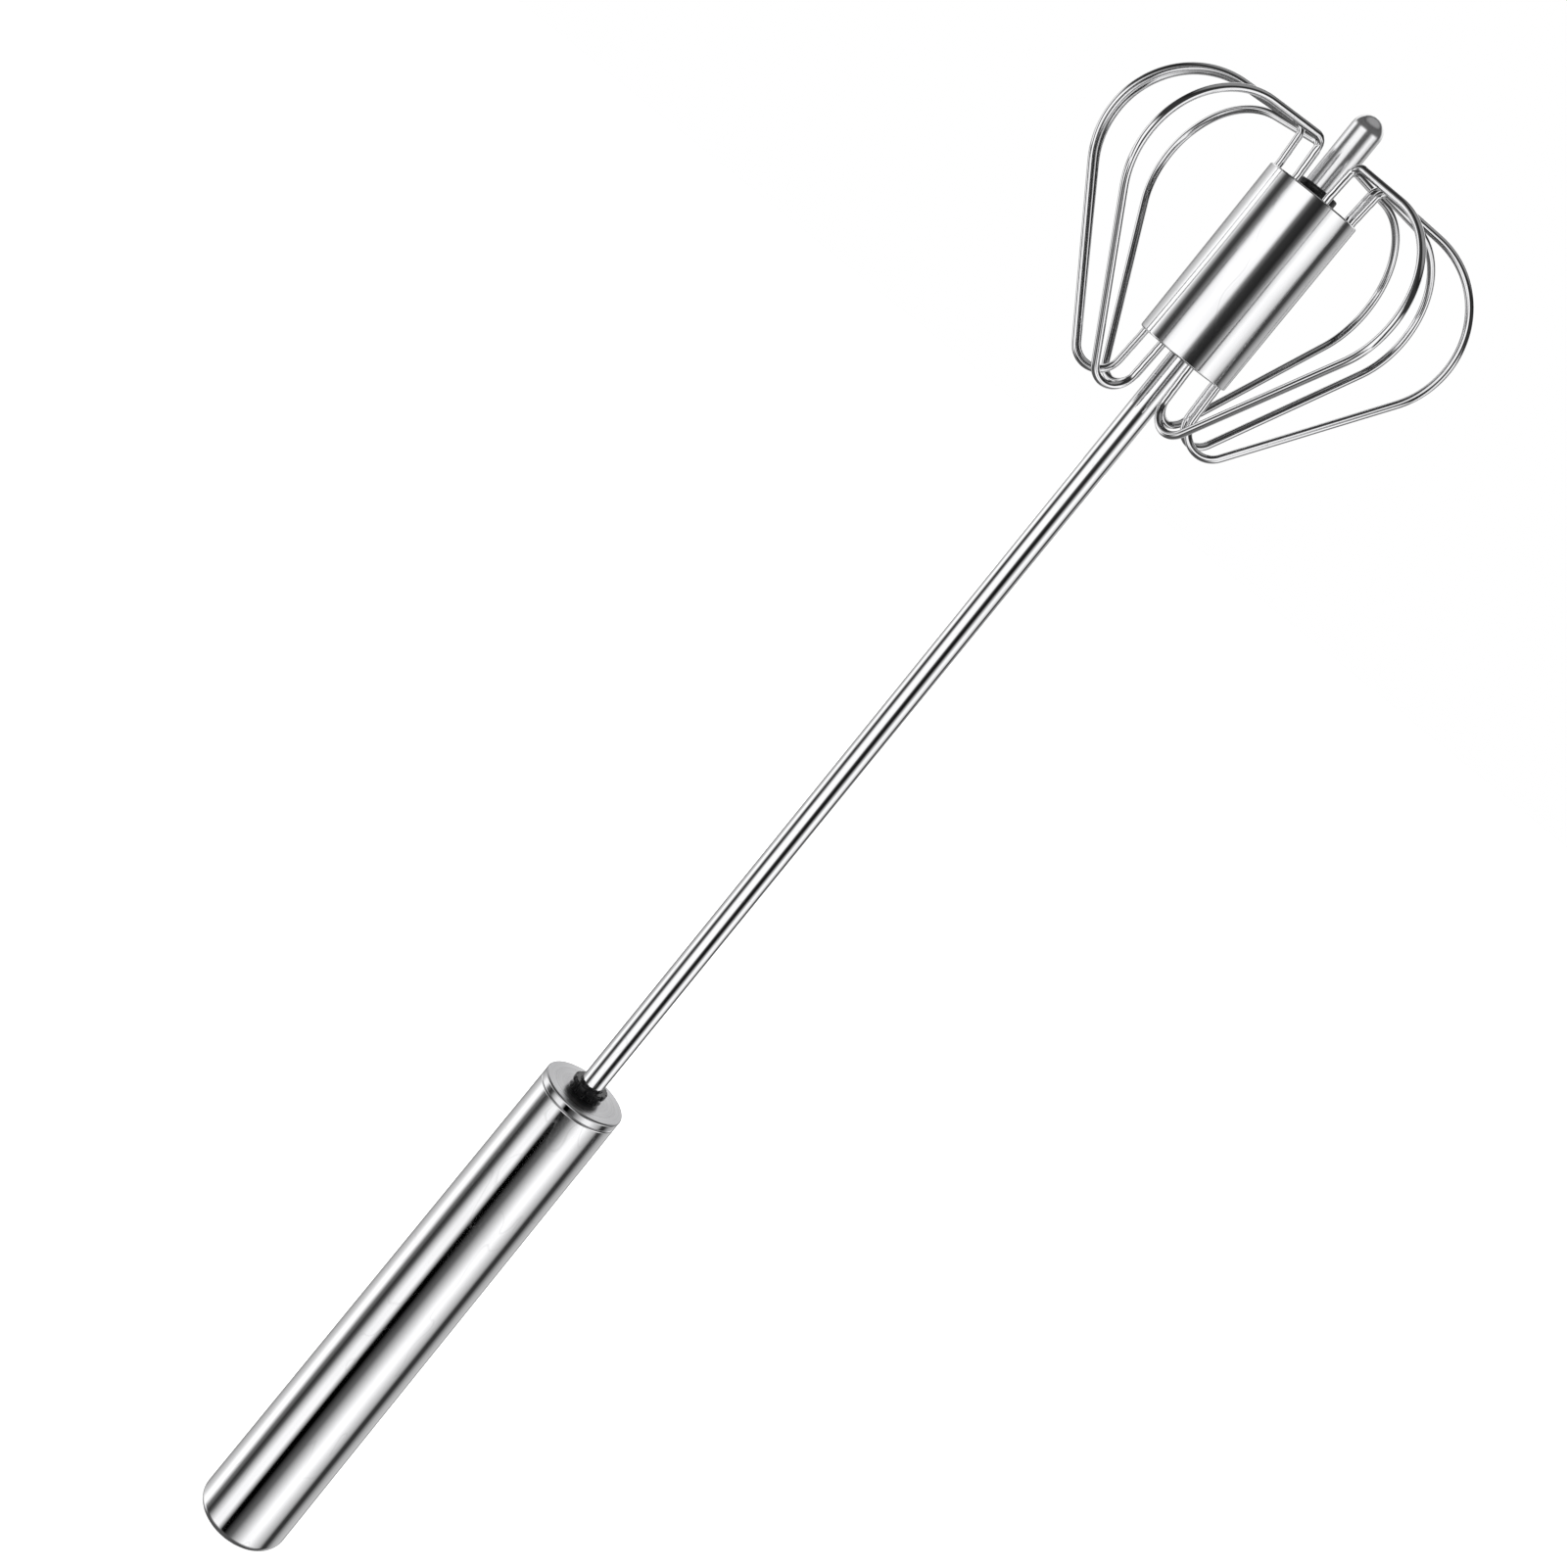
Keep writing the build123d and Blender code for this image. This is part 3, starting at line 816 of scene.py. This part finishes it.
def band_ramp(tree, angle, bands):
    """Ramp of brightness by compass angle: bands lists (degrees, level) in order. A
    ramp's colours stop at one, so the levels are divided by the brightest and
    multiplied again after it."""
    brightest = 2.0
    share = maths(tree, "ADD", maths(tree, "DIVIDE", angle, TURN), 0.5)
    ramp = add_node(tree, "ShaderNodeValToRGB")
    join(tree, share, ramp.inputs["Fac"])
    stops = ramp.color_ramp.elements
    stops[0].position, stops[1].position = 0.0, 1.0
    for degrees, _ in bands[1:-1]:
        stops.new((degrees + 180) / 360)
    for stop, (_, level) in zip(stops, bands):
        stop.color = (level / brightest,) * 3 + (1,)
    return maths(tree, "MULTIPLY", ramp.outputs["Color"], brightest)


def blend(tree, mask, first, second):
    """first where the mask is 0 and second where it is 1."""
    node = add_node(tree, "ShaderNodeMix", data_type="FLOAT")
    for socket, value in zip(node.inputs[:1] + node.inputs[2:4], (mask, first, second)):
        if isinstance(value, bpy.types.NodeSocket):
            join(tree, value, socket)
        else:
            socket.default_value = value
    return node.outputs[0]


def studio_world():
    """Soft boxes and dark flags round the object. Their brightness follows the compass
    angle of a direction, in one set below the object and one level with it, which turns
    to the right as the direction falls. Above them the ceiling is dark but for a pale
    panel behind the object, and so is the ground straight below. The background itself
    is white."""
    # degrees from the front, negative to the left, and the brightness there
    back_left = ((-180, 0.12), (-150, 0.45), (-128, 0.72), (-112, 1.3))
    back_right = ((99, 0.04), (110, 0.04), (128, 0.45), (150, 0.6), (180, 0.12))
    lower_front = ((-100, 1.2), (-88, 0.2), (-76, 0.03), (-68, 0.10), (-56, 0.65),
                   (-45, 1.1), (-30, 1.15), (-17, 0.0), (-7, 0.0), (12, 0.14), (35, 0.85),
                   (46, 1.2), (60, 1.25), (74, 0.85), (90, 0.48))
    level_front = ((-97, 1.2), (-89, 0.5), (-80, 0.06), (-71, 0.02), (-60, 0.22),
                   (-49, 1.1), (-30, 1.3), (-6, 1.1), (1, 0.16), (9, 0.02), (25, 0.0),
                   (34, 0.10), (50, 0.9), (60, 1.25), (74, 1.1), (90, 0.72))
    haze, ground, dark_ceiling, pale_panel, crown, zenith = 0.02, 0.10, 0.04, 1.1, 0.02, 0.30
    world = bpy.data.worlds.new("studio")
    bpy.context.scene.world = world
    world.use_nodes = True
    tree = world.node_tree
    tree.nodes.clear()
    place = add_node(tree, "ShaderNodeTexCoord")
    parts = add_node(tree, "ShaderNodeSeparateXYZ")
    join(tree, place.outputs["Generated"], parts.inputs[0])
    height = parts.outputs["Z"]
    toward = maths(tree, "MULTIPLY", parts.outputs["Y"], -1.0)
    angle = maths(tree, "ARCTAN2", parts.outputs["X"], toward)
    below = band_ramp(tree, angle, back_left + lower_front + back_right)
    swing = spread(tree, height, (-0.40, -0.10), (radians(29), 0.0))
    swung = maths(tree, "SUBTRACT", angle, swing)
    beside = band_ramp(tree, swung, back_left + level_front + back_right)
    beside = maths(tree, "ADD", beside, spread(tree, height, (-0.10, -0.05), (0.0, haze)))
    lit = blend(tree, rise(tree, height, -0.43, -0.40), below, beside)
    lit = blend(tree, rise(tree, height, -0.86, -0.70), ground, lit)
    ceiling = blend(tree, rise(tree, parts.outputs["Y"], 0.45, 0.70), dark_ceiling, pale_panel)
    lit = blend(tree, rise(tree, height, 0.12, 0.28), lit, ceiling)
    lit = blend(tree, rise(tree, height, 0.60, 0.66), lit, crown)
    lit = blend(tree, rise(tree, height, 0.74, 0.90), lit, zenith)
    studio = add_node(tree, "ShaderNodeBackground")
    join(tree, lit, studio.inputs["Color"])
    white = add_node(tree, "ShaderNodeBackground")
    white.inputs["Color"].default_value = (1, 1, 1, 1)
    seen = add_node(tree, "ShaderNodeLightPath")
    mix = add_node(tree, "ShaderNodeMixShader")
    join(tree, seen.outputs["Is Camera Ray"], mix.inputs["Fac"])
    join(tree, studio.outputs[0], mix.inputs[1])
    join(tree, white.outputs[0], mix.inputs[2])
    output = add_node(tree, "ShaderNodeOutputWorld")
    join(tree, mix.outputs[0], output.inputs["Surface"])


def pale_floor():
    """Plain floor under the closed end, lit from within: faintly round the object, so
    that it takes a soft shadow, and to pure white further out. Mirror surfaces do not
    show it."""
    half, height = 3.0, -0.2 * MM
    near, far, faint, full = 0.02, 0.12, 0.80, 1.1
    corners = [(-half, -half), (half, -half), (half, half), (-half, half)]
    mesh = bpy.data.meshes.new("floor")
    mesh.from_pydata([(x, y, height) for x, y in corners], [], [(0, 1, 2, 3)])
    floor = bpy.data.objects.new("floor", mesh)
    bpy.context.scene.collection.objects.link(floor)
    material, tree, shader, vector = start_material(
        "floor", Roughness=0.9, Specular_IOR_Level=0.0
    )
    shader.inputs["Base Color"].default_value = (0.8, 0.8, 0.8, 1)
    shader.inputs["Emission Color"].default_value = (1, 1, 1, 1)
    away = add_node(tree, "ShaderNodeVectorMath", operation="LENGTH")
    join(tree, vector, away.inputs[0])
    glow = spread(tree, away.outputs["Value"], (near, far), (faint, full))
    join(tree, glow, shader.inputs["Emission Strength"])
    mesh.materials.append(material)
    floor.visible_glossy = False


def soft_box(name, place, aim, size, power):
    """Square soft light at a place, turned to face a point."""
    data = bpy.data.lights.new(name, "AREA")
    data.size = size
    data.energy = power
    lamp = bpy.data.objects.new(name, data)
    lamp.location = place
    lamp.rotation_euler = (Vector(aim) - Vector(place)).to_track_quat("-Z", "Y").to_euler()
    lamp.visible_glossy = False
    bpy.context.scene.collection.objects.link(lamp)


def studio_camera():
    """Camera level with the ferrule, pitched down, turned a little to the left so that
    the axis lies right of the middle, and rolled so that the whisk leans right."""
    place, lens = (0, -0.4435, 0.3276), 55.5
    pitch, yaw, roll = radians(15.8), radians(0.966), radians(39.1)
    side = Vector((1, 0, 0))
    level = Vector((0, cos(pitch), -sin(pitch)))
    ahead = cos(yaw) * level - sin(yaw) * side
    right = cos(yaw) * side + sin(yaw) * level
    up = right.cross(ahead)
    tilted_right = cos(roll) * right + sin(roll) * up
    tilted_up = cos(roll) * up - sin(roll) * right
    data = bpy.data.cameras.new("camera")
    data.sensor_fit = "VERTICAL"
    data.sensor_height = 36
    data.lens = lens
    data.clip_start = 0.01
    camera = bpy.data.objects.new("camera", data)
    turn = Matrix((tilted_right, tilted_up, -ahead)).transposed().to_4x4()
    camera.matrix_world = Matrix.Translation(place) @ turn
    bpy.context.scene.collection.objects.link(camera)
    bpy.context.scene.camera = camera


studio_world()
pale_floor()
soft_box("key light", (-0.9, -0.7, 1.3), (0, 0, 0.15), size=1.2, power=14)
soft_box("fill light", (1.1, -0.3, 1.0), (0, 0, 0.2), size=1.2, power=8)
studio_camera()
bpy.context.scene.view_settings.view_transform = "Standard"
